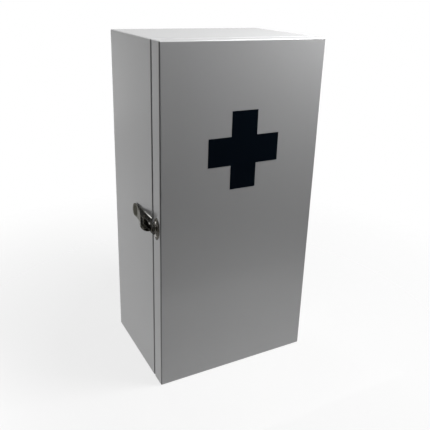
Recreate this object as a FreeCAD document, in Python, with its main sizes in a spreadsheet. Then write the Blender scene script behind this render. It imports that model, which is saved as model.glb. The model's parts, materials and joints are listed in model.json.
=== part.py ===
import FreeCAD, Part
import os
from math import atan2, sqrt
from types import SimpleNamespace

import Sketcher

# A small wooden medicine cabinet: a box of painted boards, two fixed shelves, and a hollow lid for a
# door, hinged on the right and held shut by a toggle latch on the left. Lengths are in millimetres.
# The origin is the middle of the foot, +X is to the right of someone who faces the door, +Y is
# towards the wall and +Z is up.

SIZES = {
    # The whole cabinet, door included
    "CabinetWidth": 210,
    "CabinetDepth": 155,
    "CabinetHeight": 420,
    "BoardThickness": 9,
    "EdgeRadius": 1.6,
    # The door, a panel on a frame of strips
    "DoorPanelThickness": 9,
    "DoorFrameDepth": 12,
    "DoorStripWidth": 9,
    # The back panel in its rebate
    "BackPanelThickness": 4,
    "BackPanelInset": 0.8,
    "BackPanelPlay": 0.2,
    "RebateWidth": 5,
    "WallHoleRadius": 2.75,
    "WallHoleSpacing": 130,
    "WallHoleDrop": 45,
    # The shelves in their housings
    "ShelfThickness": 6,
    "ShelfSetback": 4,
    "HousingDepth": 3,
    "HousingPlay": 0.1,
    # Nails
    "NailPlay": 0.03,
    "BradRadius": 0.8,
    "BradLength": 26,
    "BradHeadRadius": 1.2,
    "BradHeadHeight": 0.8,
    "BradSink": 1,
    "BradInset": 18,
    "PanelPinRadius": 0.6,
    "PanelPinLength": 14,
    "PanelPinHeadRadius": 1.3,
    "PanelPinHeadHeight": 0.5,
    "PanelPinInset": 24,
    # The cross on the door
    "CrossSpan": 93,
    "CrossArmWidth": 34,
    "CrossCentreHeight": 296,
    "CrossThickness": 0.15,
    # The hinges
    "HingeLength": 30,
    "HingeEndDistance": 70,
    "LeafThickness": 0.8,
    "LeafWidth": 8,
    "LeafGap": 0.2,
    "KnuckleRadius": 1.9,
    "KnuckleStandoff": 0.25,
    "KnuckleEndGap": 0.16,
    "HingePinRadius": 1,
    "HingePinPlay": 0.05,
    "HingePinHeadRadius": 1.5,
    "HingePinHeadHeight": 0.6,
    "HingeScrewSpacing": 18,
    "HingeScrewRadius": 1,
    "HingeScrewLength": 8,
    "HingeScrewHeadRadius": 1.9,
    "HingeScrewSink": 0.04,
    # The latch: plates, hook and screws
    "LatchHeight": 211,
    "LatchSheet": 0.8,
    "LatchScrewRadius": 1.1,
    "LatchScrewLength": 7.5,
    "LatchScrewHeadRadius": 2.1,
    "LatchScrewHeadHeight": 1.3,
    "ScrewPlay": 0.04,
    "SlotWidth": 0.5,
    "SlotDepth": 0.5,
    "CatchPlateWidth": 16,
    "CatchPlateLength": 27.6,
    "CatchScrewSpacing": 15,
    "CatchWindowLength": 4.4,
    "HookWidth": 5.2,
    "HookHeight": 6,
    "HookLean": 0.9,
    "HookSetback": 1.2,
    # The latch: the channel on the side and the pivot in its ears
    "PivotSetback": 10.7,
    "PivotStandoff": 5.2,
    "ChannelFrontDistance": 9,
    "ChannelBackDistance": 30,
    "ChannelScrewDistance": 6,
    "ChannelScrewSpacing": 20,
    "EarGap": 14.8,
    "EarFrontStandoff": 3.4,
    "EarFrontRadius": 8,
    "EarCrownLead": 1,
    "EarCrownStandoff": 8.6,
    "EarCrownRadius": 24,
    "EarShoulderDistance": 10,
    "EarShoulderStandoff": 7.6,
    "RivetRadius": 1.1,
    "RivetHeadRadius": 1.9,
    "RivetHeadHeight": 0.7,
    "RivetPlay": 0.05,
    # The latch: lever and loop
    "CheekPlay": 0.2,
    "HubRadius": 3.2,
    "CheekLength": 26,
    "CheekFootGap": 1,
    "LeverFrontDistance": 13,
    "LeverDipDistance": 36,
    "LeverDipStandoff": 1.7,
    "LeverTipDistance": 46.5,
    "LeverTipStandoff": 3.4,
    "LeverCurlRadius": 20,
    "TabWidth": 17.6,
    "TabCornerLength": 4.8,
    "TabTipWidth": 8,
    "TabTipRadius": 14,
    "TabTipBulge": 0.6,
    "TabShoulderDistance": 33,
    "RibRadius": 0.6,
    "RibEndGap": 2.4,
    "LoopPinDistance": 8,
    "LoopPinRadius": 0.9,
    "LoopEyeRadius": 1.7,
    "LoopStandoff": 4,
    "LoopThickness": 1.2,
    "LoopArmWidth": 1.8,
    "LoopCornerRadius": 1.5,
    "LoopSidePlay": 0.3,
    "LoopHookPlay": 0.3,
    # How far a cutting shape runs past the face that it cuts
    "Overrun": 1,
}

KNUCKLE_COUNT = 5
CORNER_BRAD_COUNT = 3
PANEL_PIN_UPRIGHT_COUNT = 4
PANEL_PIN_LEVEL_COUNT = 3
COMPARTMENT_COUNT = 3
RIB_PLACE_SHARES = (0.04, 0.34, 0.64)
SHEET_NORMAL_SHARES = (0.18, 0.98)
TIP_NORMAL_SHARES = (0.4, 0.92)
HOOK_BEND_HEIGHT_SHARE = 0.6
HOOK_BEND_LEAN_SHARE = 0.2
HOOK_BEVEL_SHARE = 0.5
SCREW_POINT_SHARE = 0.3
QUARTER_TURN = 90

RIGHT, LEFT = (1, 0, 0), (-1, 0, 0)
BACK, FRONT = (0, 1, 0), (0, -1, 0)
UP, DOWN = (0, 0, 1), (0, 0, -1)


class Size:
    """A length: its number, and the expression over the sheet that features are bound to."""

    def __init__(self, number, text):
        self.number = number
        self.text = text

    def with_other(self, sign, other, number):
        other_text = other.text if isinstance(other, Size) else str(other)
        return Size(number, f"({self.text} {sign} {other_text})")

    def __add__(self, other):
        return self.with_other("+", other, self.number + number_of(other))

    def __sub__(self, other):
        return self.with_other("-", other, self.number - number_of(other))

    def __mul__(self, other):
        return self.with_other("*", other, self.number * number_of(other))

    def __truediv__(self, other):
        return self.with_other("/", other, self.number / number_of(other))

    def __neg__(self):
        return Size(-self.number, f"(-{self.text})")


def number_of(amount):
    return amount.number if isinstance(amount, Size) else amount


doc = FreeCAD.newDocument("MedicineCabinet")


def make_sheet():
    """The spreadsheet of driving sizes, one row each, and the sizes as lengths to build with."""
    sheet = doc.addObject("Spreadsheet::Sheet", "Sizes")
    for row, (alias, value) in enumerate(SIZES.items(), start=1):
        sheet.set(f"A{row}", alias)
        sheet.set(f"B{row}", str(value))
        sheet.setAlias(f"B{row}", alias)
    doc.recompute()
    return SimpleNamespace(**{alias: Size(float(sheet.get(alias)), f"Sizes.{alias}") for alias in SIZES})


size = make_sheet()
ZERO = Size(0, "0")


# Shapes bound to the sheet

def place(thing, at, axis=UP):
    """Puts a thing's origin at a point, with its own Z along the axis."""
    turn = FreeCAD.Rotation(FreeCAD.Vector(*UP), FreeCAD.Vector(*axis))
    thing.Placement = FreeCAD.Placement(FreeCAD.Vector(), turn)
    for letter, amount in zip("xyz", at):
        thing.setExpression(f"Placement.Base.{letter}", amount.text)


def along(point, axis, distance):
    """The point that lies a distance from another along an axis."""
    return tuple(start + distance * way if way else start for start, way in zip(point, axis))


def block(name, x, y, z):
    """A box between the low and the high size that each direction gives."""
    box = doc.addObject("Part::Box", name)
    for side, (low, high) in zip(("Length", "Width", "Height"), (x, y, z)):
        box.setExpression(side, (high - low).text)
    place(box, (x[0], y[0], z[0]))
    return box


def cylinder(name, radius, length, start, axis):
    rod = doc.addObject("Part::Cylinder", name)
    rod.setExpression("Radius", radius.text)
    rod.setExpression("Height", length.text)
    place(rod, start, axis)
    return rod


def cone(name, start_radius, end_radius, length, start, axis):
    taper = doc.addObject("Part::Cone", name)
    taper.setExpression("Radius1", start_radius.text)
    taper.setExpression("Radius2", end_radius.text)
    taper.setExpression("Height", length.text)
    place(taper, start, axis)
    return taper


def dome(name, radius, height, start, axis):
    """Half an ellipsoid, flat side at the start."""
    cap = doc.addObject("Part::Ellipsoid", name)
    cap.setExpression("Radius1", height.text)
    cap.setExpression("Radius2", radius.text)
    cap.setExpression("Radius3", radius.text)
    cap.Angle1 = 0
    cap.Angle2 = QUARTER_TURN
    place(cap, start, axis)
    return cap


def fuse(name, pieces):
    whole = doc.addObject("Part::MultiFuse", name)
    whole.Shapes = pieces
    whole.Refine = True
    return whole


def group(name, pieces):
    """Separate solids under one name."""
    several = doc.addObject("Part::Compound", name)
    several.Links = pieces
    return several


def cut(name, base, tools):
    rest = doc.addObject("Part::Cut", name)
    rest.Base = base
    rest.Tool = group(f"{name}_cuts", tools) if len(tools) > 1 else tools[0]
    return rest


def common(name, base, tool):
    shared = doc.addObject("Part::Common", name)
    shared.Base = base
    shared.Tool = tool
    return shared


def rounded_block(name, x, y, z, radius):
    """A box with all its edges rounded over."""
    body = doc.addObject("PartDesign::Body", name)
    box = body.newObject("PartDesign::AdditiveBox", f"{name}_box")
    for side, (low, high) in zip(("Length", "Width", "Height"), (x, y, z)):
        box.setExpression(side, (high - low).text)
    doc.recompute()
    rounds = body.newObject("PartDesign::Fillet", f"{name}_rounds")
    rounds.Base = (box, [f"Edge{number + 1}" for number in range(len(box.Shape.Edges))])
    rounds.setExpression("Radius", radius.text)
    body.Tip = rounds
    place(body, (x[0], y[0], z[0]))
    return body


def arc_after(point, radius):
    """A corner of an outline that an arc follows. The arc keeps its centre on the left of its way
    round, and on the right for a negative radius."""
    return (*point, radius)


def add_edge(drawing, corner, end):
    """Adds the line or arc from a corner to the next. Returns its number and its ends' positions."""
    ends = [FreeCAD.Vector(point[0].number, point[1].number, 0) for point in (corner, end)]
    if len(corner) == 2:
        return drawing.addGeometry(Part.LineSegment(*ends)), 1, 2
    radius = corner[-1]
    side = 1 if radius.number > 0 else -1
    chord = ends[1] - ends[0]
    across = FreeCAD.Vector(-chord.y, chord.x, 0).normalize()
    rise = sqrt(radius.number ** 2 - (chord.Length / 2) ** 2)
    centre = (ends[0] + ends[1]) / 2 + across * rise * side
    angles = [atan2(end.y - centre.y, end.x - centre.x) for end in ends]
    round_edge = Part.Circle(centre, FreeCAD.Vector(*UP), abs(radius.number))
    if side > 0:
        number = drawing.addGeometry(Part.ArcOfCircle(round_edge, angles[0], angles[1]))
        positions = (1, 2)
    else:
        number = drawing.addGeometry(Part.ArcOfCircle(round_edge, angles[1], angles[0]))
        positions = (2, 1)
    held = drawing.addConstraint(Sketcher.Constraint("Radius", number, abs(radius.number)))
    drawing.setExpression(f"Constraints[{held}]", (radius if side > 0 else -radius).text)
    return number, *positions


def outline(drawing, corners):
    """Joins the corners in a closed outline, and binds their places to the sheet."""
    after = corners[1:] + corners[:1]
    edges = [add_edge(drawing, corner, end) for corner, end in zip(corners, after)]
    for (edge, _, last), (next_edge, first, _) in zip(edges, edges[1:] + edges[:1]):
        drawing.addConstraint(Sketcher.Constraint("Coincident", edge, last, next_edge, first))
    for (edge, first, _), corner in zip(edges, corners):
        for way, amount in zip(("DistanceX", "DistanceY"), corner):
            held = drawing.addConstraint(Sketcher.Constraint(way, edge, first, amount.number))
            drawing.setExpression(f"Constraints[{held}]", amount.text)


def plate(name, plane_role, offset, thickness, outlines, both_ways=False):
    """Outlines drawn on one of the origin planes, moved off it, and made solid along its normal."""
    body = doc.addObject("PartDesign::Body", name)
    plane = next(feature for feature in body.Origin.OriginFeatures if feature.Role == plane_role)
    drawing = body.newObject("Sketcher::SketchObject", f"{name}_outline")
    drawing.AttachmentSupport = [(plane, "")]
    drawing.MapMode = "FlatFace"
    drawing.setExpression("AttachmentOffset.Base.z", offset.text)
    for corners in outlines:
        outline(drawing, corners)
    solid = body.newObject("PartDesign::Pad", f"{name}_pad")
    solid.Profile = drawing
    solid.SideType = "Symmetric" if both_ways else "One side"
    solid.setExpression("Length", thickness.text)
    return body


# Places that more than one piece follows

half_width = size.CabinetWidth / 2
half_depth = size.CabinetDepth / 2
inner_half_width = half_width - size.BoardThickness
inner_top = size.CabinetHeight - size.BoardThickness
door_front = -half_depth
door_panel_back = door_front + size.DoorPanelThickness
door_back = door_panel_back + size.DoorFrameDepth
door_thickness = size.DoorPanelThickness + size.DoorFrameDepth
seam = size.LeafThickness * 2 + size.LeafGap
carcass_front = door_back + seam
panel_outside = half_depth - size.BackPanelInset
panel_inside = panel_outside - size.BackPanelThickness
rebate_half_width = inner_half_width + size.RebateWidth
rebate_bottom = size.BoardThickness - size.RebateWidth
rebate_top = inner_top + size.RebateWidth
compartment_step = (inner_top - size.BoardThickness + size.ShelfThickness) / COMPARTMENT_COUNT
shelf_heights = [size.BoardThickness + compartment_step * number - size.ShelfThickness
                 for number in range(1, COMPARTMENT_COUNT)]
shelf_front = carcass_front + size.ShelfSetback
hinge_heights = {"lower": size.HingeEndDistance, "upper": size.CabinetHeight - size.HingeEndDistance}
hinge_axis_x = half_width + size.KnuckleStandoff + size.KnuckleRadius
hinge_axis_y = (door_back + carcass_front) / 2
hinge_screw_x = half_width - size.BoardThickness / 2

# Nails and screws. Each has one function for the piece and one for the hole that it sits in.


def spread(low, high, count):
    """Places spaced evenly from low to high, both included."""
    return [low + (high - low) * step / (count - 1) for step in range(count)]


def nail(name, head_top, axis, kind):
    """A nail whose head faces along the axis."""
    under_head = along(head_top, axis, -kind.head_height)
    head = cylinder(f"{name}_head", kind.head_radius, kind.head_height, under_head, axis)
    shank_length = kind.length - kind.head_height
    point = along(under_head, axis, -shank_length)
    shank = cylinder(f"{name}_shank", kind.radius, shank_length, point, axis)
    return fuse(name, [head, shank])


def nail_hole(name, head_top, axis, kind):
    reach = kind.length + size.NailPlay
    bottom = along(head_top, axis, -reach)
    shank = cylinder(f"{name}_shank", kind.radius + size.NailPlay, reach, bottom, axis)
    head_room = kind.head_height + size.NailPlay
    head = cylinder(f"{name}_head", kind.head_radius + size.NailPlay, head_room + size.NailPlay,
                    along(head_top, axis, -head_room), axis)
    return fuse(name, [shank, head])


brad = SimpleNamespace(radius=size.BradRadius, length=size.BradLength,
                       head_radius=size.BradHeadRadius, head_height=size.BradHeadHeight)
panel_pin = SimpleNamespace(radius=size.PanelPinRadius, length=size.PanelPinLength,
                            head_radius=size.PanelPinHeadRadius, head_height=size.PanelPinHeadHeight)


def corner_brad_places(side, y_places):
    """Where the heads of the brads sit in a side board, level with the top and bottom boards."""
    heights = (size.BoardThickness / 2, size.CabinetHeight - size.BoardThickness / 2)
    head_x = (half_width - size.BradSink) * side
    return [(head_x, y, z) for z in heights for y in y_places]


carcass_brad_ys = spread(carcass_front + size.BradInset, half_depth - size.BradInset, CORNER_BRAD_COUNT)
door_brad_ys = [door_panel_back + size.DoorFrameDepth / 2]
panel_pin_x = inner_half_width + size.RebateWidth / 2
panel_pin_low = size.BoardThickness - size.RebateWidth / 2
panel_pin_high = inner_top + size.RebateWidth / 2


def panel_pin_places():
    """Pins up both side boards and, between them, along the top and bottom boards."""
    heights = spread(size.PanelPinInset, size.CabinetHeight - size.PanelPinInset, PANEL_PIN_UPRIGHT_COUNT)
    reach = panel_pin_x - size.PanelPinInset
    across = spread(-reach, reach, PANEL_PIN_LEVEL_COUNT)
    head_y = panel_outside + size.PanelPinHeadHeight
    up = [(x, head_y, z) for x in (-panel_pin_x, panel_pin_x) for z in heights]
    level = [(x, head_y, z) for z in (panel_pin_low, panel_pin_high) for x in across]
    return up + level


def corner_brads(name, y_places):
    brads = []
    for side, axis in ((-1, LEFT), (1, RIGHT)):
        for place_of_head in corner_brad_places(side, y_places):
            brads.append(nail(f"{name}_{len(brads) + 1}", place_of_head, axis, brad))
    return group(name, brads)


def corner_brad_holes(name, y_places):
    """The same holes are cut from the side boards and from the boards between them."""
    holes = []
    for side, axis in ((-1, LEFT), (1, RIGHT)):
        for place_of_head in corner_brad_places(side, y_places):
            holes.append(nail_hole(f"{name}_{len(holes) + 1}", place_of_head, axis, brad))
    return group(name, holes)


def back_panel_pins():
    pins = [nail(f"panel_pin_{number}", at, BACK, panel_pin)
            for number, at in enumerate(panel_pin_places(), start=1)]
    return group("back_panel_pins", pins)


def back_panel_pin_holes():
    holes = [nail_hole(f"panel_pin_hole_{number}", at, BACK, panel_pin)
             for number, at in enumerate(panel_pin_places(), start=1)]
    return group("panel_pin_holes", holes)


def countersunk_screw(name, face, axis):
    """A hinge screw with a cross slot, its head just below the face."""
    top = along(face, axis, -size.HingeScrewSink)
    head_height = size.LeafThickness - size.HingeScrewSink
    under_head = along(top, axis, -head_height)
    head = cone(f"{name}_head", size.HingeScrewRadius, size.HingeScrewHeadRadius, head_height,
                under_head, axis)
    shank_length = size.HingeScrewLength - size.LeafThickness
    point_length = shank_length * SCREW_POINT_SHARE
    shank = cylinder(f"{name}_shank", size.HingeScrewRadius, shank_length - point_length,
                     along(under_head, axis, -(shank_length - point_length)), axis)
    tip = along(under_head, axis, -shank_length)
    point = cone(f"{name}_point", size.SlotWidth / 2, size.HingeScrewRadius, point_length, tip, axis)
    solid = fuse(f"{name}_solid", [head, shank, point])
    x, y, z = top
    arm, half_slot = size.HingeScrewRadius, size.SlotWidth / 2
    if axis == BACK:
        depth = (y - size.SlotDepth, y + size.Overrun)
    else:
        depth = (y - size.Overrun, y + size.SlotDepth)
    upright = block(f"{name}_upright_slot", (x - half_slot, x + half_slot), depth, (z - arm, z + arm))
    level = block(f"{name}_level_slot", (x - arm, x + arm), depth, (z - half_slot, z + half_slot))
    return cut(name, solid, [fuse(f"{name}_slots", [upright, level])])


def countersunk_hole(name, face, axis):
    """The cone in the leaf, the hole through it and the pilot hole in the board behind it."""
    play = size.ScrewPlay
    under_head = along(face, axis, -size.LeafThickness)
    sink = cone(f"{name}_sink", size.HingeScrewRadius + play, size.HingeScrewHeadRadius + play,
                size.LeafThickness, under_head, axis)
    reach = size.HingeScrewLength + play
    pilot = cylinder(f"{name}_pilot", size.HingeScrewRadius + play, reach, along(face, axis, -reach), axis)
    return fuse(name, [sink, pilot])


def round_head_screw(name, face, slot_level):
    """A latch screw in the left side, its domed head on the plate's face, with one slot."""
    head = dome(f"{name}_head", size.LatchScrewHeadRadius, size.LatchScrewHeadHeight, face, LEFT)
    point_length = size.LatchScrewLength * SCREW_POINT_SHARE
    plain_length = size.LatchScrewLength - point_length
    shank = cylinder(f"{name}_shank", size.LatchScrewRadius, plain_length, face, RIGHT)
    point = cone(f"{name}_point", size.LatchScrewRadius, size.SlotWidth / 2, point_length,
                 along(face, RIGHT, plain_length), RIGHT)
    solid = fuse(f"{name}_solid", [head, shank, point])
    x, y, z = face
    half_slot, arm = size.SlotWidth / 2, size.LatchScrewHeadRadius + size.Overrun
    half_y, half_z = (arm, half_slot) if slot_level else (half_slot, arm)
    head_top = x - size.LatchScrewHeadHeight
    slot = block(f"{name}_slot", (head_top - size.Overrun, head_top + size.SlotDepth),
                 (y - half_y, y + half_y), (z - half_z, z + half_z))
    return cut(name, solid, [slot])


def round_head_hole(name, face):
    reach = size.LatchScrewLength + size.ScrewPlay
    return cylinder(name, size.LatchScrewRadius + size.ScrewPlay, reach, face, RIGHT)


# The carcass

def carcass_block():
    return rounded_block("carcass_block", (-half_width, half_width), (carcass_front, half_depth),
                         (ZERO, size.CabinetHeight), size.EdgeRadius)


def back_rebate():
    return block("back_rebate", (-rebate_half_width, rebate_half_width),
                 (panel_inside, half_depth + size.Overrun), (rebate_bottom, rebate_top))


def board(name, x, y, z, rounded, cuts):
    blank = block(f"{name}_blank", x, y, z)
    return cut(name, common(f"{name}_rounded", blank, rounded), cuts)


def shelf_housings():
    """The grooves in both side boards that the shelves' ends sit in."""
    reach = inner_half_width + size.HousingDepth
    grooves = [block(f"housing_{number}", (-reach, reach), (shelf_front, panel_inside + size.Overrun),
                     (height, height + size.ShelfThickness + size.HousingPlay))
               for number, height in enumerate(shelf_heights, start=1)]
    return group("shelf_housings", grooves)


def shelf(name, height):
    """A shelf lies on the floor of its housings and against the back panel."""
    reach = inner_half_width + size.HousingDepth - size.HousingPlay
    return block(name, (-reach, reach), (shelf_front, panel_inside), (height, height + size.ShelfThickness))


def back_panel(pin_holes):
    reach = rebate_half_width - size.BackPanelPlay
    blank = block("back_panel_blank", (-reach, reach), (panel_inside, panel_outside),
                  (rebate_bottom + size.BackPanelPlay, rebate_top - size.BackPanelPlay))
    hole_z = size.CabinetHeight - size.WallHoleDrop
    reach_through = size.BackPanelThickness + size.Overrun * 2
    wall_holes = [cylinder(f"wall_hole_{name}", size.WallHoleRadius, reach_through,
                           (size.WallHoleSpacing / 2 * side, panel_inside - size.Overrun, hole_z), BACK)
                  for name, side in (("left", -1), ("right", 1))]
    return cut("back_panel", blank, [pin_holes, *wall_holes])


# The hinges

def hinge_screw_places(face_y):
    return [(hinge_screw_x, face_y, height + size.HingeScrewSpacing / 2 * side)
            for height in hinge_heights.values() for side in (-1, 1)]


def hinge_leaf(name, height, y, knuckle_numbers, screw_holes):
    """A leaf in the seam between door and carcass, and its knuckles round the pin outside."""
    low, high = height - size.HingeLength / 2, height + size.HingeLength / 2
    leaf = block(f"{name}_leaf", (half_width - size.LeafWidth, half_width), y, (low, high))
    pieces = [leaf]
    knuckle_length = size.HingeLength / KNUCKLE_COUNT
    for number in knuckle_numbers:
        start = low + knuckle_length * number + size.KnuckleEndGap / 2
        end = start + knuckle_length - size.KnuckleEndGap
        pieces.append(block(f"{name}_neck_{number}", (half_width, hinge_axis_x), y, (start, end)))
        pieces.append(cylinder(f"{name}_knuckle_{number}", size.KnuckleRadius, end - start,
                               (hinge_axis_x, hinge_axis_y, start), UP))
    solid = fuse(f"{name}_solid", pieces)
    bore_start = (hinge_axis_x, hinge_axis_y, low - size.Overrun)
    bore = cylinder(f"{name}_bore", size.HingePinRadius + size.HingePinPlay,
                    size.HingeLength + size.Overrun * 2, bore_start, UP)
    return cut(name, solid, [bore, screw_holes])


def hinge_pin(name, height):
    """The pin, peened to a small dome at both ends."""
    low, high = height - size.HingeLength / 2, height + size.HingeLength / 2
    at_low, at_high = ((hinge_axis_x, hinge_axis_y, z) for z in (low, high))
    return fuse(name, [
        cylinder(f"{name}_rod", size.HingePinRadius, size.HingeLength, at_low, UP),
        dome(f"{name}_top", size.HingePinHeadRadius, size.HingePinHeadHeight, at_high, UP),
        dome(f"{name}_bottom", size.HingePinHeadRadius, size.HingePinHeadHeight, at_low, DOWN),
    ])


def hinge_screws(name, face_y, axis):
    return group(name, [countersunk_screw(f"{name}_{number}", at, axis)
                        for number, at in enumerate(hinge_screw_places(face_y), start=1)])


def hinge_screw_holes(name, face_y, axis):
    return group(name, [countersunk_hole(f"{name}_{number}", at, axis)
                        for number, at in enumerate(hinge_screw_places(face_y), start=1)])


# The latch. Distances outwards are measured from the left side's face, and distances backwards from
# the pivot of the lever.

side_face = -half_width
pivot_y = carcass_front + size.PivotSetback
loop_pin_y = pivot_y + size.LoopPinDistance
catch_plate_y = door_front + door_thickness / 2
plate_face = side_face - size.LatchSheet
cheek_half_width = size.EarGap / 2 - size.CheekPlay
cheek_inside = cheek_half_width - size.LatchSheet
loop_half_width = cheek_inside - size.LoopSidePlay
hook_back = catch_plate_y + size.HookSetback + size.LatchSheet / 2
hook_tip_front = hook_back - size.LatchSheet - size.HookLean
loop_bar_back = hook_tip_front - size.LoopHookPlay
loop_front = loop_bar_back - size.LoopArmWidth


def side_point(backwards, outwards):
    """A point of a profile seen from above: so far behind the pivot and so far off the side."""
    return (side_face - outwards, pivot_y + backwards)


def profile(name, points, half_height):
    """An outline seen from above, made solid to both sides of the latch's middle height."""
    return plate(name, "XY_Plane", size.LatchHeight, half_height * 2, [points], both_ways=True)


def upright_rod(name, radius, half_height, backwards, outwards):
    x, y = side_point(backwards, outwards)
    return cylinder(name, radius, half_height * 2, (x, y, size.LatchHeight - half_height), UP)


def base_screw_places():
    """Two screws in a row along the floor of the channel, under the lever."""
    middle = (plate_face, pivot_y + size.ChannelScrewDistance, size.LatchHeight)
    return [along(middle, BACK, size.ChannelScrewSpacing / 2 * side) for side in (-1, 1)]


def catch_screw_places():
    """One screw above the hook and one below."""
    middle = (plate_face, catch_plate_y, size.LatchHeight)
    return [along(middle, UP, size.CatchScrewSpacing / 2 * side) for side in (-1, 1)]


def latch_screws(name, places):
    return group(name, [round_head_screw(f"{name}_{number}", at, slot_level=number == 1)
                        for number, at in enumerate(places, start=1)])


def latch_screw_holes(name, places):
    return group(name, [round_head_hole(f"{name}_{number}", at) for number, at in enumerate(places, start=1)])


def latch_catch_plate(screw_holes):
    """A pointed oval plate on the door, with a hook bent out of it towards the front."""
    width, length = size.CatchPlateWidth, size.CatchPlateLength
    arc_radius = (width * width + length * length) / width / 4
    discs = [cylinder(f"catch_plate_arc_{name}", arc_radius, size.LatchSheet,
                      (side_face, catch_plate_y + (arc_radius - width / 2) * side, size.LatchHeight), LEFT)
             for name, side in (("front", 1), ("back", -1))]
    oval = common("catch_plate_oval", *discs)
    hook_low = size.LatchHeight - size.HookWidth / 2
    hook_high = size.LatchHeight + size.HookWidth / 2
    window = block("catch_plate_window", (plate_face - size.Overrun, side_face + size.Overrun),
                   (hook_back, hook_back + size.CatchWindowLength), (hook_low, hook_high))
    punched = cut("catch_plate_punched", oval, [window, screw_holes])
    return fuse("latch_catch_plate", [punched, catch_hook()])


def catch_hook():
    sheet, lean = size.LatchSheet, size.HookLean
    bend_x = side_face - size.HookHeight * HOOK_BEND_HEIGHT_SHARE
    tip_x = side_face - size.HookHeight
    bend = lean * HOOK_BEND_LEAN_SHARE
    points = [
        (side_face, hook_back),
        (bend_x, hook_back - bend),
        (tip_x, hook_tip_front + sheet),
        (tip_x + sheet * HOOK_BEVEL_SHARE, hook_tip_front),
        (bend_x, hook_back - sheet - bend),
        (side_face, hook_back - sheet),
    ]
    return profile("catch_hook", points, size.HookWidth / 2)


def latch_base_plate(screw_holes):
    """A channel on the carcass: a floor plate with a long ear folded up along each edge, for the lever."""
    ear_points = [
        side_point(-size.ChannelFrontDistance, ZERO),
        side_point(size.ChannelBackDistance, ZERO),
        side_point(size.ChannelBackDistance, size.LatchSheet),
        arc_after(side_point(size.EarShoulderDistance, size.EarShoulderStandoff), size.EarCrownRadius),
        arc_after(side_point(-size.EarCrownLead, size.EarCrownStandoff), size.EarFrontRadius),
        side_point(-size.ChannelFrontDistance, size.EarFrontStandoff),
    ]
    outside = size.EarGap / 2 + size.LatchSheet
    blank = profile("ear_outline", ear_points, outside)
    between = block("between_ears", (plate_face - size.EarCrownStandoff, plate_face),
                    (pivot_y - size.ChannelFrontDistance - size.Overrun,
                     pivot_y + size.ChannelBackDistance + size.Overrun),
                    (size.LatchHeight - size.EarGap / 2, size.LatchHeight + size.EarGap / 2))
    bore = upright_rod("ear_bore", size.RivetRadius + size.NailPlay, outside + size.Overrun,
                       ZERO, size.PivotStandoff)
    return cut("latch_base_plate", blank, [between, bore, screw_holes])


def latch_pivot_rivets():
    """Two short rivets, which leave the middle free for the loop."""
    x, y = side_point(ZERO, size.PivotStandoff)
    outside = size.EarGap / 2 + size.LatchSheet
    length = outside - cheek_inside
    rivets = []
    for name, side, axis in (("lower", -1, DOWN), ("upper", 1, UP)):
        face = (x, y, size.LatchHeight + outside * side)
        shank = cylinder(f"{name}_rivet_shank", size.RivetRadius, length, along(face, axis, -length), axis)
        head = dome(f"{name}_rivet_head", size.RivetHeadRadius, size.RivetHeadHeight, face, axis)
        rivets.append(fuse(f"{name}_rivet", [shank, head]))
    return group("latch_pivot_rivets", rivets)


def lever_line(share):
    """A point on the lever's straight outer face, from the hub to the dip before the tip."""
    across, out = SHEET_NORMAL_SHARES
    start = (size.HubRadius * across, size.PivotStandoff + size.HubRadius * out)
    end = (size.LeverDipDistance, size.LeverDipStandoff)
    return tuple(low + (high - low) * share for low, high in zip(start, end))


def lever_cheeks():
    """Two side plates between the ears, round the hub and tapering back under the tab."""
    foot = size.LatchSheet + size.CheekFootGap
    cheek_share = size.CheekLength / size.LeverDipDistance
    points = [
        side_point(ZERO, size.PivotStandoff - size.HubRadius),
        side_point(size.LoopPinDistance, foot),
        side_point(size.CheekLength, lever_line(cheek_share)[1] - size.LatchSheet),
        side_point(*lever_line(cheek_share)),
        side_point(*lever_line(0)),
    ]
    blank = fuse("cheeks_blank", [
        profile("cheek_web", points, cheek_half_width),
        upright_rod("cheek_round", size.HubRadius, cheek_half_width, ZERO, size.PivotStandoff),
    ])
    between = block("between_cheeks", (side_face - size.PivotStandoff * 2, side_face),
                    (pivot_y - size.HubRadius * 2, pivot_y + size.LeverTipDistance),
                    (size.LatchHeight - cheek_inside, size.LatchHeight + cheek_inside))
    return cut("cheeks", blank, [between])


def lever_tab():
    """The sheet that the finger lifts: straight, then curled up at the tip, and rounded in plan."""
    sheet = size.LatchSheet
    front_share = size.LeverFrontDistance / size.LeverDipDistance
    down, out = SHEET_NORMAL_SHARES
    tip_down, tip_out = TIP_NORMAL_SHARES
    front, dip = lever_line(front_share), lever_line(1)
    tip = (size.LeverTipDistance, size.LeverTipStandoff)
    points = [
        side_point(*front),
        arc_after(side_point(*dip), size.LeverCurlRadius),
        side_point(*tip),
        arc_after(side_point(tip[0] + sheet * tip_down, tip[1] - sheet * tip_out),
                  -(size.LeverCurlRadius + sheet)),
        side_point(dip[0] - sheet * down, dip[1] - sheet * out),
        side_point(front[0] - sheet * down, front[1] - sheet * out),
    ]
    strip = profile("lever_strip", points, size.TabWidth / 2)
    return common("lever_tab", strip, tab_plan())


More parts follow.
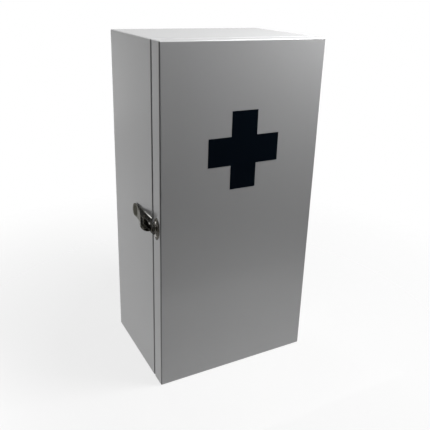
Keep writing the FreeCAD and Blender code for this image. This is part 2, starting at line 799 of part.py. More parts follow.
def tab_plan():
    """The tab's outline seen from the side of the cabinet."""
    half_tab, half_tip, middle = size.TabWidth / 2, size.TabTipWidth / 2, size.LatchHeight
    start = pivot_y
    shoulder = pivot_y + size.TabShoulderDistance
    tip = pivot_y + size.LeverTipDistance - size.TabTipBulge
    corner = tip - size.TabCornerLength
    corner_radius = size.TabCornerLength
    points = [
        (start, middle - cheek_half_width),
        (shoulder - size.TabCornerLength, middle - cheek_half_width),
        (shoulder, middle - half_tab),
        arc_after((corner, middle - half_tab), corner_radius),
        arc_after((tip, middle - half_tip), size.TabTipRadius),
        arc_after((tip, middle + half_tip), corner_radius),
        (corner, middle + half_tab),
        (shoulder, middle + half_tab),
        (shoulder - size.TabCornerLength, middle + cheek_half_width),
        (start, middle + cheek_half_width),
    ]
    depth = size.PivotStandoff * 2
    return plate("tab_plan", "YZ_Plane", side_face - depth, depth, [points])


def curl_point(share):
    """A point on the curled outer face of the tab, from the dip to the tip."""
    run = size.LeverTipDistance - size.LeverDipDistance
    rise = size.LeverTipStandoff - size.LeverDipStandoff
    hollow = run * run / size.LeverCurlRadius / 2 * share * (1 - share)
    return size.LeverDipDistance + run * share, size.LeverDipStandoff + rise * share - hollow


def lever_ribs():
    """Ribs across the tab for the fingertip."""
    half_height = size.TabWidth / 2 - size.RibEndGap
    return [upright_rod(f"lever_rib_{number}", size.RibRadius, half_height, *curl_point(share))
            for number, share in enumerate(RIB_PLACE_SHARES, start=1)]


def latch_lever():
    solid = fuse("lever_solid", [lever_cheeks(), lever_tab(), *lever_ribs()])
    reach = cheek_half_width + size.Overrun
    pivot_bore = upright_rod("lever_pivot_bore", size.RivetRadius + size.RivetPlay, reach,
                             ZERO, size.PivotStandoff)
    pin_bore = upright_rod("lever_pin_bore", size.LoopPinRadius + size.NailPlay, reach,
                           size.LoopPinDistance, size.LoopStandoff)
    return cut("latch_lever", solid, [pivot_bore, pin_bore])


def latch_loop_pin():
    return upright_rod("latch_loop_pin", size.LoopPinRadius, cheek_half_width,
                       size.LoopPinDistance, size.LoopStandoff)


def latch_loop():
    """A flat ring round the hook, rolled to an eye round the cross pin."""
    arm, corner, middle = size.LoopArmWidth, size.LoopCornerRadius, size.LatchHeight
    half = loop_half_width
    outer = [
        (loop_pin_y, middle + half),
        arc_after((loop_front + corner, middle + half), corner),
        (loop_front, middle + half - corner),
        arc_after((loop_front, middle - half + corner), corner),
        (loop_front + corner, middle - half),
        (loop_pin_y, middle - half),
    ]
    window_back = loop_pin_y - size.LoopEyeRadius - size.LoopArmWidth / 2
    window = [
        (window_back, middle + half - arm),
        (loop_bar_back, middle + half - arm),
        (loop_bar_back, middle - half + arm),
        (window_back, middle - half + arm),
    ]
    bottom = side_face - size.LoopStandoff - size.LoopThickness / 2
    ring = plate("loop_ring", "YZ_Plane", bottom, size.LoopThickness, [outer, window])
    eye = upright_rod("loop_eye", size.LoopEyeRadius, half, size.LoopPinDistance, size.LoopStandoff)
    solid = fuse("loop_solid", [ring, eye])
    bore = upright_rod("loop_bore", size.LoopPinRadius + size.RivetPlay, half + size.Overrun,
                       size.LoopPinDistance, size.LoopStandoff)
    return cut("latch_loop", solid, [bore])


# The door

def door_block():
    return rounded_block("door_block", (-half_width, half_width), (door_front, door_back),
                         (ZERO, size.CabinetHeight), size.EdgeRadius)


def cross_emblem():
    """A flat cross on the front, two bars of one length."""
    reach, arm, middle = size.CrossSpan / 2, size.CrossArmWidth / 2, size.CrossCentreHeight
    y = (door_front - size.CrossThickness, door_front)
    upright = block("cross_upright", (-arm, arm), y, (middle - reach, middle + reach))
    level = block("cross_level", (-reach, reach), y, (middle - arm, middle + arm))
    return fuse("cross_emblem", [upright, level])


def make_carcass():
    rounded = carcass_block()
    rebate = back_rebate()
    housings = shelf_housings()
    brad_holes = corner_brad_holes("corner_brad_holes", carcass_brad_ys)
    pin_holes = back_panel_pin_holes()
    base_holes = latch_screw_holes("base_screw_holes", base_screw_places())
    leaf_face = carcass_front - size.LeafThickness
    leaf_holes = hinge_screw_holes("hinge_cabinet_holes", leaf_face, FRONT)
    depth, height = (carcass_front, half_depth), (ZERO, size.CabinetHeight)
    inside = (-inner_half_width, inner_half_width)
    nodes = [
        board("left_side_board", (-half_width, -inner_half_width), depth, height, rounded,
              [rebate, housings, brad_holes, pin_holes, base_holes]),
        board("right_side_board", (inner_half_width, half_width), depth, height, rounded,
              [rebate, housings, brad_holes, pin_holes, leaf_holes]),
        board("top_board", inside, depth, (inner_top, size.CabinetHeight), rounded,
              [rebate, brad_holes, pin_holes]),
        board("bottom_board", inside, depth, (ZERO, size.BoardThickness), rounded,
              [rebate, brad_holes, pin_holes]),
        back_panel(pin_holes),
        back_panel_pins(),
        corner_brads("corner_brads", carcass_brad_ys),
        shelf("lower_shelf", shelf_heights[0]),
        shelf("upper_shelf", shelf_heights[1]),
    ]
    for name, middle in hinge_heights.items():
        nodes.append(hinge_leaf(f"{name}_hinge_cabinet_leaf", middle, (leaf_face, carcass_front),
                                range(0, KNUCKLE_COUNT, 2), leaf_holes))
        nodes.append(hinge_pin(f"{name}_hinge_pin", middle))
    nodes += [
        hinge_screws("hinge_cabinet_screws", leaf_face, FRONT),
        latch_base_plate(base_holes),
        latch_screws("latch_base_screws", base_screw_places()),
        latch_pivot_rivets(),
    ]
    return nodes


def make_door():
    rounded = door_block()
    brad_holes = corner_brad_holes("door_brad_holes", door_brad_ys)
    catch_holes = latch_screw_holes("catch_screw_holes", catch_screw_places())
    leaf_face = door_back + size.LeafThickness
    leaf_holes = hinge_screw_holes("hinge_door_holes", leaf_face, BACK)
    depth, height = (door_panel_back, door_back), (ZERO, size.CabinetHeight)
    strip_inside = half_width - size.DoorStripWidth
    across = (-strip_inside, strip_inside)
    nodes = [
        board("door_front_panel", (-half_width, half_width), (door_front, door_panel_back), height, rounded,
              [catch_holes]),
        board("door_latch_stile", (-half_width, -strip_inside), depth, height, rounded,
              [brad_holes, catch_holes]),
        board("door_hinge_stile", (strip_inside, half_width), depth, height, rounded,
              [brad_holes, leaf_holes]),
        board("door_top_rail", across, depth,
              (size.CabinetHeight - size.DoorStripWidth, size.CabinetHeight), rounded, [brad_holes]),
        board("door_bottom_rail", across, depth, (ZERO, size.DoorStripWidth), rounded, [brad_holes]),
        corner_brads("door_corner_brads", door_brad_ys),
        cross_emblem(),
        hinge_screws("hinge_door_screws", leaf_face, BACK),
        latch_catch_plate(catch_holes),
        latch_screws("latch_catch_screws", catch_screw_places()),
    ]
    for name, middle in hinge_heights.items():
        nodes.append(hinge_leaf(f"{name}_hinge_door_leaf", middle, (door_back, leaf_face),
                                range(1, KNUCKLE_COUNT, 2), leaf_holes))
    return nodes


def check(nodes):
    """Stops if any object of the document failed, or if a node's shape is empty or faulty."""
    failed = [thing.Name for thing in doc.Objects if {"Invalid", "Error"} & set(thing.State)]
    faulty = [node.Name for node in nodes if node.Shape.isNull() or not node.Shape.isValid()]
    if failed or faulty:
        raise RuntimeError(f"failed objects: {failed}, faulty nodes: {faulty}")


def main():
    nodes = make_carcass() + make_door() + [latch_lever(), latch_loop_pin(), latch_loop()]
    for node in nodes:
        node.Label = node.Name
    doc.recompute()
    check(nodes)
    os.makedirs("parts", exist_ok=True)
    for node in nodes:
        node.Shape.exportStep(f"parts/{node.Label}.step")
        box = node.Shape.BoundBox
        print(f"{node.Label:28s} {len(node.Shape.Solids):2d} solids {node.Shape.Volume:12.2f} mm3  "
              f"x {box.XMin:.2f} {box.XMax:.2f}  y {box.YMin:.2f} {box.YMax:.2f}  "
              f"z {box.ZMin:.2f} {box.ZMax:.2f}")


main()
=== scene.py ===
import json
from math import radians

import bmesh
import bpy
from mathutils import Matrix, Vector


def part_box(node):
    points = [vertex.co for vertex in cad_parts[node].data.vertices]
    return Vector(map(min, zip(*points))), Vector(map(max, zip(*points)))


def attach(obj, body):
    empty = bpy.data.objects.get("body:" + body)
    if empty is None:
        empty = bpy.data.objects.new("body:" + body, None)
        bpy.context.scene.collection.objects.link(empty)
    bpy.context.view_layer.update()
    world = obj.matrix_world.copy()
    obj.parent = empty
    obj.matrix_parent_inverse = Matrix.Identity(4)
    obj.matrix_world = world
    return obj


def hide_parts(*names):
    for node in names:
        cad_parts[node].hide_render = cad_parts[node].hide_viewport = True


# The looks of a small painted medicine cabinet with a toggle latch, standing on a pale floor.
# Lengths are in metres. +X is to the right of someone who faces the door, +Y is towards the wall.

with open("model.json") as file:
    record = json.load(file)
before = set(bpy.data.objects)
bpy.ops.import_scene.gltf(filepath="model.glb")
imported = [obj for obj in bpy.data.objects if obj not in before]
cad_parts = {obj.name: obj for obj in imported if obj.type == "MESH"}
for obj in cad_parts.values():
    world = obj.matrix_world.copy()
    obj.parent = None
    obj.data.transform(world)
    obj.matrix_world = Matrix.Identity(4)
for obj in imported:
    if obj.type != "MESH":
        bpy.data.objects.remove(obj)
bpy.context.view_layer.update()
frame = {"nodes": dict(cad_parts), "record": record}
nodes = frame["nodes"]
record = frame["record"]

slot_of_node = {part["node"]: part["material_slot"] for part in record["subparts"]}
body_of_node = {name: body for body, names in record["behaviour"]["bodies"].items() for name in names}

MM = 0.001

# The photograph's frame in pixels, and the camera solved from the seven corners of the cabinet that show
PHOTO_SIDE = 430
FOCAL_PIXELS = 552.4
OPTICAL_CENTRE = (214.3, 190.0)
CAMERA_PLACE = Vector((-322.83, -603.38, 472.25)) * MM
CAMERA_RIGHT = Vector((0.8833, -0.46801, 0.02733))
CAMERA_FORWARD = Vector((0.44769, 0.82479, -0.34539))
NEAREST_SEEN = 10 * MM
# A sensor's width is given in millimetres
SENSOR_WIDTH = 36


def photograph_camera():
    data = bpy.data.cameras.new("photograph_camera")
    data.sensor_width = SENSOR_WIDTH
    data.lens = FOCAL_PIXELS / PHOTO_SIDE * SENSOR_WIDTH
    data.shift_x = (PHOTO_SIDE / 2 - OPTICAL_CENTRE[0]) / PHOTO_SIDE
    data.shift_y = (OPTICAL_CENTRE[1] - PHOTO_SIDE / 2) / PHOTO_SIDE
    data.clip_start = NEAREST_SEEN
    camera = bpy.data.objects.new("photograph_camera", data)
    up = CAMERA_RIGHT.cross(CAMERA_FORWARD)
    turn = Matrix((CAMERA_RIGHT, up, -CAMERA_FORWARD)).transposed()
    camera.matrix_world = Matrix.Translation(CAMERA_PLACE) @ turn.to_4x4()
    bpy.context.scene.collection.objects.link(camera)
    bpy.context.scene.camera = camera


# Nodes of the materials

def feed(tree, socket, value):
    """Gives a socket a number or a colour, or links it to the output that feeds it."""
    if isinstance(value, bpy.types.NodeSocket):
        tree.links.new(value, socket)
    else:
        socket.default_value = value


def feed_all(tree, node, values):
    for name, value in values.items():
        feed(tree, node.inputs[name], value)


def wire(tree, kind, values=None, **settings):
    """Adds a node with its settings and what its sockets get."""
    node = tree.nodes.new(kind)
    for name, value in settings.items():
        setattr(node, name, value)
    feed_all(tree, node, values or {})
    return node


def grey(level):
    return (level, level, level, 1)


def mix_colours(tree, factor, low, high, blend="MIX"):
    """Its sockets go by number, because the node has several of the same name."""
    node = wire(tree, "ShaderNodeMix", data_type="RGBA", blend_type=blend)
    for socket, value in zip((node.inputs[0], node.inputs[6], node.inputs[7]), (factor, low, high)):
        feed(tree, socket, value)
    return node.outputs[2]


def arithmetic(tree, operation, *values):
    node = wire(tree, "ShaderNodeMath", operation=operation)
    for socket, value in zip(node.inputs, values):
        feed(tree, socket, value)
    return node.outputs[0]


def rescale(tree, value, low, high, new_low, new_high):
    """A value between low and high, moved into another range and held there."""
    return wire(tree, "ShaderNodeMapRange", {
        "Value": value, "From Min": low, "From Max": high, "To Min": new_low, "To Max": new_high,
    }).outputs[0]


def noise(tree, place, scale, detail=2.0, roughness=0.5):
    """Cloudy noise. Its scale is in grains per metre."""
    return wire(tree, "ShaderNodeTexNoise", {
        "Vector": place, "Scale": scale, "Detail": detail, "Roughness": roughness,
    }).outputs["Fac"]


def object_place(tree):
    return wire(tree, "ShaderNodeTexCoord").outputs["Object"]


def bumped(tree, height, depth):
    return wire(tree, "ShaderNodeBump", {"Height": height, "Distance": depth}).outputs[0]


def new_group(name, inputs, outputs):
    """A node group, what it is given and the node for its results. Each socket has a name and a kind."""
    tree = bpy.data.node_groups.new(name, "ShaderNodeTree")
    for in_out, sockets in (("INPUT", inputs), ("OUTPUT", outputs)):
        for socket, kind in sockets.items():
            tree.interface.new_socket(socket, in_out=in_out, socket_type=f"NodeSocket{kind}")
    return tree, tree.nodes.new("NodeGroupInput").outputs, tree.nodes.new("NodeGroupOutput")


def use_group(tree, group, values):
    return wire(tree, "ShaderNodeGroup", values, node_tree=group).outputs


def new_material(name):
    material = bpy.data.materials.new(name)
    material.use_nodes = True
    tree = material.node_tree
    surface = tree.nodes["Principled BSDF"]
    return material, tree, surface


# Effects that several finishes share

# Noise runs from 0 to 1, and most of it lies near the middle
NOISE_MIDDLE = (0.35, 0.65)
NOISE_WIDE = (0.2, 0.8)

CLOUDS_PER_METRE = 9.0
CLOUD_ROUGHNESS = 0.012
# Two parts of the normal, multiplied, tell a rounded edge from a face. The painted shade on upright edges
# and the painted highlight on level edges start at the first number and are full at the second.
UPRIGHT_EDGE_SHADE_SPAN = (0.06, 0.40)
LEVEL_EDGE_HIGHLIGHT_SPAN = (0.10, 0.45)


def lacquer_group():
    """Sprayed lacquer: faint clouds in the tone and the fine orange peel of the dried film, with painted
    shade darkening the upright rounded edges and a painted highlight lightening the level rounded edges."""
    tree, given, result = new_group(
        "Sprayed lacquer",
        {"Colour": "Color", "Cloud depth": "Float", "Peel grains per metre": "Float",
         "Upright edge painted shade": "Float", "Level edge painted highlight": "Float", "Roughness": "Float"},
        {"Colour": "Color", "Roughness": "Float", "Height": "Float"})
    place = object_place(tree)
    clouds = noise(tree, place, CLOUDS_PER_METRE, detail=3.0)
    palest = arithmetic(tree, "ADD", 1.0, given["Cloud depth"])
    darkest = arithmetic(tree, "SUBTRACT", 1.0, given["Cloud depth"])
    tone = rescale(tree, clouds, *NOISE_MIDDLE, darkest, palest)
    normal = wire(tree, "ShaderNodeSeparateXYZ", {0: wire(tree, "ShaderNodeTexCoord").outputs["Normal"]})
    x, y, z = (arithmetic(tree, "ABSOLUTE", normal.outputs[way]) for way in "XYZ")
    upright_turn = arithmetic(tree, "MULTIPLY", x, y)
    level_turn = arithmetic(tree, "MULTIPLY", z, arithmetic(tree, "MAXIMUM", x, y))
    # Painted shade darkens the upright rounded edges, and a painted highlight lightens the level ones
    upright_painted_shade = rescale(tree, upright_turn, *UPRIGHT_EDGE_SHADE_SPAN, 1.0, given["Upright edge painted shade"])
    level = rescale(tree, level_turn, *LEVEL_EDGE_HIGHLIGHT_SPAN, 1.0, given["Level edge painted highlight"])
    cloud_tone_and_painted_edges = arithmetic(tree, "MULTIPLY", tone, arithmetic(tree, "MULTIPLY", upright_painted_shade, level))
    roughness = rescale(tree, clouds, *NOISE_WIDE, -CLOUD_ROUGHNESS, CLOUD_ROUGHNESS)
    feed_all(tree, result, {
        "Colour": mix_colours(tree, 1.0, given["Colour"], cloud_tone_and_painted_edges, "MULTIPLY"),
        "Roughness": arithmetic(tree, "ADD", given["Roughness"], roughness),
        "Height": noise(tree, place, given["Peel grains per metre"], detail=2.5, roughness=0.4),
    })
    return tree


PATCHES_PER_METRE = 420.0
SPECKS_PER_METRE = 2400.0
THINNEST_PATCH = 0.84
PATCH_HEIGHT = 0.4
PATINA_ROUGHNESS = 0.10
# How far the rounded normal agrees with the true one, where an edge is rubbed bare and where it isn't
RUBBED_EDGE = (0.80, 0.99)
EDGE_SAMPLES = 4


def plating_group():
    """Plated metal: darkened in patches by a dull patina, which on the darkest finishes is painted shade,
    and rubbed bright along its edges.
    """
    tree, given, result = new_group(
        "Worn plating",
        {"Bright": "Color", "Dark": "Color", "Tarnish and painted shade": "Float", "Dullness": "Float",
         "Edge width": "Float", "Roughness": "Float"},
        {"Colour": "Color", "Metal": "Float", "Roughness": "Float", "Height": "Float"})
    place = object_place(tree)
    patches = noise(tree, place, PATCHES_PER_METRE, detail=4.0, roughness=0.6)
    specks = noise(tree, place, SPECKS_PER_METRE, detail=3.0)
    rounded = wire(tree, "ShaderNodeBevel", {"Radius": given["Edge width"]},
                   samples=EDGE_SAMPLES).outputs[0]
    true_normal = wire(tree, "ShaderNodeNewGeometry").outputs["True Normal"]
    facing = wire(tree, "ShaderNodeVectorMath", {0: rounded, 1: true_normal},
                  operation="DOT_PRODUCT").outputs["Value"]
    rubbed = rescale(tree, facing, *RUBBED_EDGE, 1.0, 0.0)
    thickness = rescale(tree, patches, *NOISE_MIDDLE, THINNEST_PATCH, 1.0)
    patina_and_painted_shade = arithmetic(tree, "MULTIPLY", arithmetic(tree, "MULTIPLY", given["Tarnish and painted shade"], thickness),
                        arithmetic(tree, "SUBTRACT", 1.0, rubbed))
    dull = arithmetic(tree, "MULTIPLY", patina_and_painted_shade, given["Dullness"])
    feed_all(tree, result, {
        "Colour": mix_colours(tree, patina_and_painted_shade, given["Bright"], given["Dark"]),
        "Metal": arithmetic(tree, "SUBTRACT", 1.0, dull),
        "Roughness": arithmetic(tree, "MULTIPLY_ADD", patina_and_painted_shade, PATINA_ROUGHNESS, given["Roughness"]),
        "Height": arithmetic(tree, "ADD", arithmetic(tree, "MULTIPLY", patches, PATCH_HEIGHT), specks),
    })
    return tree


# The finishes

BOARD_GREY = (0.368, 0.369, 0.373, 1)
CLOUD_DEPTH = 0.006
PEEL_GRAINS_PER_METRE = 1400.0
# Factors on the colour: painted shade on the upright rounded edges, painted highlight on the level ones
UPRIGHT_EDGE_PAINTED_SHADE = 0.4
LEVEL_EDGE_PAINTED_HIGHLIGHT = 1.7
VARNISH = 0.4
VARNISH_ROUGHNESS = 0.14


def lacquer(name, group, roughness, peel_depth):
    """The boards' grey lacquer under a coat of varnish, with painted shade on its upright rounded edges and
    a painted highlight on its level ones.
    """
    material, tree, surface = new_material(name)
    film = use_group(tree, group, {
        "Colour": BOARD_GREY,
        "Cloud depth": CLOUD_DEPTH,
        "Peel grains per metre": PEEL_GRAINS_PER_METRE,
        "Upright edge painted shade": UPRIGHT_EDGE_PAINTED_SHADE,
        "Level edge painted highlight": LEVEL_EDGE_PAINTED_HIGHLIGHT,
        "Roughness": roughness,
    })
    feed_all(tree, surface, {
        "Base Color": film["Colour"],
        "Roughness": film["Roughness"],
        "Normal": bumped(tree, film["Height"], peel_depth),
        "Coat Weight": VARNISH,
        "Coat Roughness": VARNISH_ROUGHNESS,
    })
    return material


RUBBED_WIDTH = 0.25 * MM
PATINA_DEPTH = 0.01 * MM
PATINA_IOR = 1.15
# Each plating: its rubbed edges, its dark colour (a patina, and painted shade on the loop and the base
# plate), how much that covers, and how rough and how dull it is
PLATINGS = {
    "screw_plating": dict(bright=(0.62, 0.61, 0.58, 1), dark=(0.25, 0.24, 0.22, 1),
                          tarnish_and_painted_shade=0.5, roughness=0.24, dullness=0.0),
    "hinge_plating": dict(bright=(0.60, 0.59, 0.56, 1), dark=(0.33, 0.32, 0.30, 1),
                          tarnish_and_painted_shade=0.5, roughness=0.28, dullness=0.0),
    "latch_nickel": dict(bright=(0.30, 0.295, 0.25, 1), dark=(0.120, 0.117, 0.096, 1),
                         tarnish_and_painted_shade=0.94, roughness=0.34, dullness=0.85),
    # The loop's and the base plate's near-black dark colour is painted shade, for the shadow inside the
    # latch
    "hollow_painted_shade_nickel": dict(bright=(0.22, 0.21, 0.17, 1), dark=(0.003, 0.0025, 0.002, 1),
                          tarnish_and_painted_shade=1.0, roughness=0.34, dullness=1.0),
    "channel_painted_shade_nickel": dict(bright=(0.34, 0.33, 0.28, 1), dark=(0.006, 0.005, 0.004, 1),
                           tarnish_and_painted_shade=1.0, roughness=0.34, dullness=1.0),
    "catch_nickel": dict(bright=(0.34, 0.33, 0.28, 1), dark=(0.045, 0.038, 0.028, 1),
                         tarnish_and_painted_shade=1.0, roughness=0.32, dullness=0.5),
}


def plating(name, group, bright, dark, tarnish_and_painted_shade, roughness, dullness):
    material, tree, surface = new_material(name)
    metal = use_group(tree, group, {
        "Bright": bright, "Dark": dark, "Tarnish and painted shade": tarnish_and_painted_shade, "Dullness": dullness,
        "Edge width": RUBBED_WIDTH, "Roughness": roughness,
    })
    feed_all(tree, surface, {
        "Metallic": metal["Metal"],
        "Base Color": metal["Colour"],
        "Roughness": metal["Roughness"],
        "Normal": bumped(tree, metal["Height"], PATINA_DEPTH),
    })
    if dullness:
        surface.inputs["IOR"].default_value = PATINA_IOR
    return material


# The colour, metal and roughness of the painted highlight along the channel's upper fold
FOLD_HIGHLIGHT_PAINT = {"Base Color": (0.95, 0.94, 0.90, 1), "Metallic": 1.0, "Roughness": 0.10}
# The painted highlight band's distances from the board and from the channel's top, where it starts and is
# full
FOLD_TO_BOARD = (1.3 * MM, 1.0 * MM)
FOLD_TO_TOP = (0.5 * MM, 0.2 * MM)
# From the door, it is full up to the first share of the channel's length, and faint from the second
FOLD_LENGTH = (0.2, 0.7)
FAINTEST_FOLD_HIGHLIGHT = 0.1


def painted_fold_highlight(material):
    """The upper fold of the latch's channel, against the board, gets a painted highlight, a bright band
    strongest near the door. Its bump leans it away from the board, so that it mirrors the white wall side
    and not the board."""
    tree = material.node_tree
    surface = tree.nodes["Principled BSDF"]
    low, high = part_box("latch_base_plate")
    place = wire(tree, "ShaderNodeSeparateXYZ", {0: object_place(tree)}).outputs
    near_board = rescale(tree, place["X"], *(high[0] - reach for reach in FOLD_TO_BOARD), 0.0, 1.0)
    near_top = rescale(tree, place["Z"], *(high[2] - reach for reach in FOLD_TO_TOP), 0.0, 1.0)
    length = high[1] - low[1]
    full, faint = (low[1] + share * length for share in FOLD_LENGTH)
    near_door = rescale(tree, place["Y"], full, faint, 1.0, FAINTEST_FOLD_HIGHLIGHT)
    fold_highlight_mask = arithmetic(tree, "MULTIPLY", near_door, arithmetic(tree, "MULTIPLY", near_board, near_top))
    for name, value in FOLD_HIGHLIGHT_PAINT.items():
        socket = surface.inputs[name]
        before_highlight = socket.links[0].from_socket
        if name == "Base Color":
            feed(tree, socket, mix_colours(tree, fold_highlight_mask, before_highlight, value))
        else:
            feed(tree, socket, rescale(tree, fold_highlight_mask, 0.0, 1.0, before_highlight, value))
    bump = surface.inputs["Normal"].links[0].from_node
    grain = arithmetic(tree, "MULTIPLY", bump.inputs["Height"].links[0].from_socket,
                       bump.inputs["Distance"].default_value)
    slope = rescale(tree, place["X"], high[0] - FOLD_TO_BOARD[0], high[0], 0.0, FOLD_TO_BOARD[0])
    height_in_metres = arithmetic(tree, "MULTIPLY_ADD", slope, near_top, grain)
    feed_all(tree, bump, {"Height": height_in_metres, "Distance": 1.0})


FILM_DARK = (0.0001, 0.0016, 0.0045, 1)
FILM_PALE = (0.0002, 0.0028, 0.0065, 1)
FILM_CLOUDS_PER_METRE = 40.0
FILM_CLOUDS = (0.3, 0.7)
FILM_ROUGHNESS = (0.62, 0.72)
FILM_SPECULAR = 0.04
FILM_GRAINS_PER_METRE = 1500.0
FILM_GRAIN_DEPTH = 0.01 * MM


def cross_film_finish():
    """Printed film: nearly black with a blue cast, matt, with the film's faint grain."""
    material, tree, surface = new_material("cross_film")
    place = object_place(tree)
    clouds = noise(tree, place, FILM_CLOUDS_PER_METRE)
    grain = noise(tree, place, FILM_GRAINS_PER_METRE)
    feed_all(tree, surface, {
        "Base Color": mix_colours(tree, clouds, FILM_DARK, FILM_PALE),
        "Roughness": rescale(tree, clouds, *FILM_CLOUDS, *FILM_ROUGHNESS),
        "Normal": bumped(tree, grain, FILM_GRAIN_DEPTH),
        "Specular IOR Level": FILM_SPECULAR,
    })
    return material


def dress_nodes():
    """Gives each piece its material slot's finish. The latch's base plate, loop and loop pin get a
    near-black one that is painted shade, and its rivets and catch plate a darker patina.
    """
    lacquered, plated = lacquer_group(), plating_group()
    platings = {name: plating(name, plated, **look) for name, look in PLATINGS.items()}
    painted_fold_highlight(platings["channel_painted_shade_nickel"])
    of_slot = {
        "painted_board": lacquer("board_lacquer", lacquered, roughness=0.31, peel_depth=0.002 * MM),
        "painted_back_panel": lacquer("panel_lacquer", lacquered, roughness=0.5, peel_depth=0.004 * MM),
        "cross_film": cross_film_finish(),
        "bright_steel": platings["screw_plating"],
        "hinge_steel": platings["hinge_plating"],
        "antique_nickel": platings["latch_nickel"],
    }
    of_piece = {
        "latch_base_plate": platings["channel_painted_shade_nickel"],
        "latch_loop": platings["hollow_painted_shade_nickel"],
        "latch_loop_pin": platings["hollow_painted_shade_nickel"],
        "latch_pivot_rivets": platings["catch_nickel"],
        "latch_catch_plate": platings["catch_nickel"],
    }
    for name, node in nodes.items():
        for slot in node.material_slots:
            slot.material = of_piece.get(name, of_slot[slot_of_node[name]])


# Broken edges

# The width of a piece's broken edges, and the pieces that have it
EASED_PIECES = (
    (0.6 * MM, ("lower_shelf", "upper_shelf")),
    (0.15 * MM, ("lower_hinge_cabinet_leaf", "upper_hinge_cabinet_leaf",
                 "lower_hinge_door_leaf", "upper_hinge_door_leaf")),
    (0.14 * MM, ("latch_base_plate", "latch_catch_plate", "latch_lever", "latch_loop")),
    (0.1 * MM, ("latch_base_screws", "latch_catch_screws")),
    (0.08 * MM, ("hinge_cabinet_screws", "hinge_door_screws")),
)
# Folded from sheet, so that its inner corners are rounded too
FOLDED_PIECES = ("latch_base_plate",)
EDGE_SEGMENTS = 2
ROUND_PROFILE = 0.5
MERGE_DISTANCE = 0.001 * MM
FLAT_ANGLE = radians(0.5)
SHARP_ANGLE = radians(32)
# In widths of the broken edge
TIGHT_CORNER_REACH = 2.2
# A triangle is folded over if its area is above the first of these, and the dot product of its normal and
# its face's is below the second
LEAST_FOLD = 0.0005 * MM ** 2
FOLDED_AGREEMENT = 0.5
EASING_ROUNDS = 5


def broken_edges(name, width, tight_corners):
    """A piece's mesh with its edges broken, apart from those that end in a tight corner."""
    form = bmesh.new()
    form.from_mesh(nodes[name].data)
    bmesh.ops.remove_doubles(form, verts=form.verts, dist=MERGE_DISTANCE)
    bmesh.ops.dissolve_limit(form, angle_limit=FLAT_ANGLE, verts=form.verts, edges=form.edges)
    sharp = [edge for edge in form.edges if edge.is_manifold and edge.calc_face_angle() > SHARP_ANGLE]
    if name not in FOLDED_PIECES:
        sharp = [edge for edge in sharp if edge.is_convex]
    reach = TIGHT_CORNER_REACH * width
    spared = {vert for vert in form.verts
              if any((vert.co - corner).length < reach for corner in tight_corners)}
    broken = [edge for edge in sharp if not spared & set(edge.verts)]
    bmesh.ops.bevel(form, geom=broken, offset=width, offset_type="OFFSET", segments=EDGE_SEGMENTS,
                    profile=ROUND_PROFILE, affect="EDGES", clamp_overlap=False)
    bmesh.ops.dissolve_degenerate(form, edges=form.edges, dist=MERGE_DISTANCE)
    form.normal_update()
    return form


def folded_corners(form):
    """The corners of triangles that a broken edge has pulled across its neighbour."""
    corners = []
    for triangle in form.calc_loop_triangles():
        first, second, third = (loop.vert.co.copy() for loop in triangle)
        across = (second - first).cross(third - first)
        agreement = across.normalized().dot(triangle[0].face.normal)
        if across.length / 2 > LEAST_FOLD and agreement < FOLDED_AGREEMENT:
            corners += [first, second, third]
    return corners


def ease(name, width):
    """Replaces a piece by a copy with its sharp edges broken, as sanding or plating leaves them."""
    tight_corners = []
    form = broken_edges(name, width, tight_corners)
    for _ in range(EASING_ROUNDS):
        folded = folded_corners(form)
        if not folded:
            break
        form.free()
        tight_corners += folded
        form = broken_edges(name, width, tight_corners)
    for face in form.faces:
        face.smooth = True
    mesh = bpy.data.meshes.new(f"{name}_eased")
    form.to_mesh(mesh)
    form.free()
    for material in nodes[name].data.materials:
        mesh.materials.append(material)
    piece = bpy.data.objects.new(f"{name}_eased", mesh)
    piece.modifiers.new("flat_faces_stay_flat", "WEIGHTED_NORMAL")
    bpy.context.scene.collection.objects.link(piece)
    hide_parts(name)
    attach(piece, body_of_node[name])


# The studio

CABINET_MIDDLE = (0, 0, 0.2)
DOOR_TOP = (0.0, -0.08, 0.4)
DOOR_TOP_RIGHT = (0.1, -0.08, 0.4)
# Each light: its place, what it points at, its width and height, and its power in watts
SOFTBOXES = {
    "left": ((-1.3, 0.05, 0.5), CABINET_MIDDLE, (0.8, 1.0), 2.3),
    "left_card": ((-0.32, 0.0, 0.015), (-0.105, 0.0, 0.1), (0.2, 0.12), 0.1),
    "front_card": ((0.02, -0.20, 0.012), (0.02, -0.08, 0.05), (0.35, 0.06), 0.018),
    "top_corner": ((0.3, -0.25, 0.75), DOOR_TOP_RIGHT, (0.2, 0.2), 2.5),
    "top_close": ((0.22, -0.16, 0.6), DOOR_TOP_RIGHT, (0.12, 0.12), 0.7),
    "top_front": ((0.3, -0.40, 0.7), DOOR_TOP_RIGHT, (0.2, 0.2), 0.5),
    "top_wide": ((0.0, -0.28, 0.75), DOOR_TOP, (0.4, 0.15), 0.35),
    "right": ((1.3, 0.15, 0.22), CABINET_MIDDLE, (0.8, 0.4), 5),
    "wall_side": ((0.2, 1.2, 0.17), (0, 0, 0.17), (0.9, 0.3), 4.5),
    "back_high": ((-0.1, 1.1, 1.2), (0, 0, 0.3), (0.2, 0.2), 1.5),
}


def softbox(name, place, target, size, power):
    data = bpy.data.lights.new(name, "AREA")
    data.shape = "RECTANGLE"
    data.size, data.size_y = size
    data.energy = power
    light = bpy.data.objects.new(name, data)
    light.location = place
    light.rotation_mode = "QUATERNION"
    light.rotation_quaternion = (Vector(target) - Vector(place)).to_track_quat("-Z", "Y")
    light.visible_camera = False
    bpy.context.scene.collection.objects.link(light)


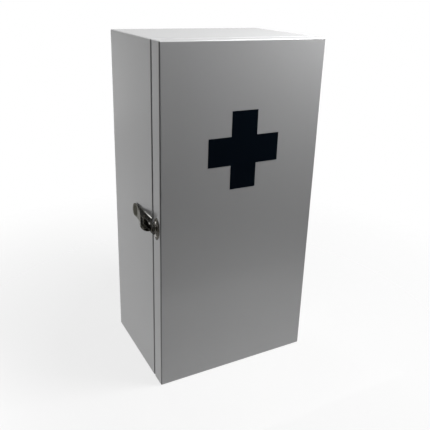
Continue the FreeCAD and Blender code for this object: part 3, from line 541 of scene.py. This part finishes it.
def camera_sees(tree):
    """1 for what the camera sees, straight or in a mirror or through glass, and 0 for stray light."""
    path = wire(tree, "ShaderNodeLightPath").outputs
    seen = arithmetic(tree, "MAXIMUM", path["Is Camera Ray"], path["Is Transmission Ray"])
    return arithmetic(tree, "MAXIMUM", seen, path["Is Glossy Ray"])


# To the camera the world is white, and it lights the pieces only faintly. In a mirror it is white towards
# the wall and a dark room the other way. It turns from dark to white where the Y of that way goes from the
# first number of ROOM_TURN to the second.
STRAY_LEVEL = 0.03
DARK_ROOM_LEVEL = 0.06
ROOM_TURN = (-0.35, 0.15)


def white_world():
    world = bpy.data.worlds.new("studio")
    bpy.context.scene.world = world
    world.use_nodes = True
    tree = world.node_tree
    way = wire(tree, "ShaderNodeSeparateXYZ", {0: wire(tree, "ShaderNodeTexCoord").outputs["Generated"]})
    room = rescale(tree, way.outputs["Y"], *ROOM_TURN, DARK_ROOM_LEVEL, 1.0)
    mirrored = wire(tree, "ShaderNodeLightPath").outputs["Is Glossy Ray"]
    seen_level = rescale(tree, mirrored, 0.0, 1.0, 1.0, room)
    strength = rescale(tree, camera_sees(tree), 0.0, 1.0, STRAY_LEVEL, seen_level)
    feed_all(tree, tree.nodes["Background"], {"Color": grey(1.0), "Strength": strength})


FLOOR_RADIUS = 2.0
FLOOR_SIDES = 96
# The camera sees a floor that glows, and so is nearly white but keeps a faint shadow
FLOOR_GLOW = 0.78
FLOOR_STRAY_TONE = 0.9
FLOOR_ROUGHNESS = 0.9
FIBRES_PER_METRE = 900.0
DARKEST_FIBRE = 0.98
# How far from the cabinet's middle the floor starts to fade into the white world, and where it is gone
FLOOR_FADE = (0.20, 0.60)


def pale_floor():
    bpy.ops.mesh.primitive_circle_add(vertices=FLOOR_SIDES, radius=FLOOR_RADIUS, fill_type="NGON",
                                      location=(0, 0, 0))
    floor = bpy.context.object
    floor.name = "floor"
    material, tree, surface = new_material("floor_paper")
    place = object_place(tree)
    distance = wire(tree, "ShaderNodeVectorMath", {0: place}, operation="LENGTH").outputs["Value"]
    seen = camera_sees(tree)
    fibres = rescale(tree, noise(tree, place, FIBRES_PER_METRE), 0.0, 1.0, DARKEST_FIBRE, 1.0)
    level = rescale(tree, seen, 0.0, 1.0, FLOOR_STRAY_TONE, 1.0 - FLOOR_GLOW)
    feed_all(tree, surface, {
        "Base Color": arithmetic(tree, "MULTIPLY", level, fibres),
        "Emission Color": grey(1.0),
        "Emission Strength": arithmetic(tree, "MULTIPLY", seen, FLOOR_GLOW),
        "Alpha": rescale(tree, distance, *FLOOR_FADE, 1.0, 0.0),
        "Roughness": FLOOR_ROUGHNESS,
        "Specular IOR Level": 0.0,
    })
    floor.data.materials.append(material)


def studio():
    bpy.context.scene.view_settings.view_transform = "Standard"
    white_world()
    pale_floor()
    for name, settings in SOFTBOXES.items():
        softbox(name, *settings)


photograph_camera()
dress_nodes()
for width, names in EASED_PIECES:
    for name in names:
        ease(name, width)
studio()
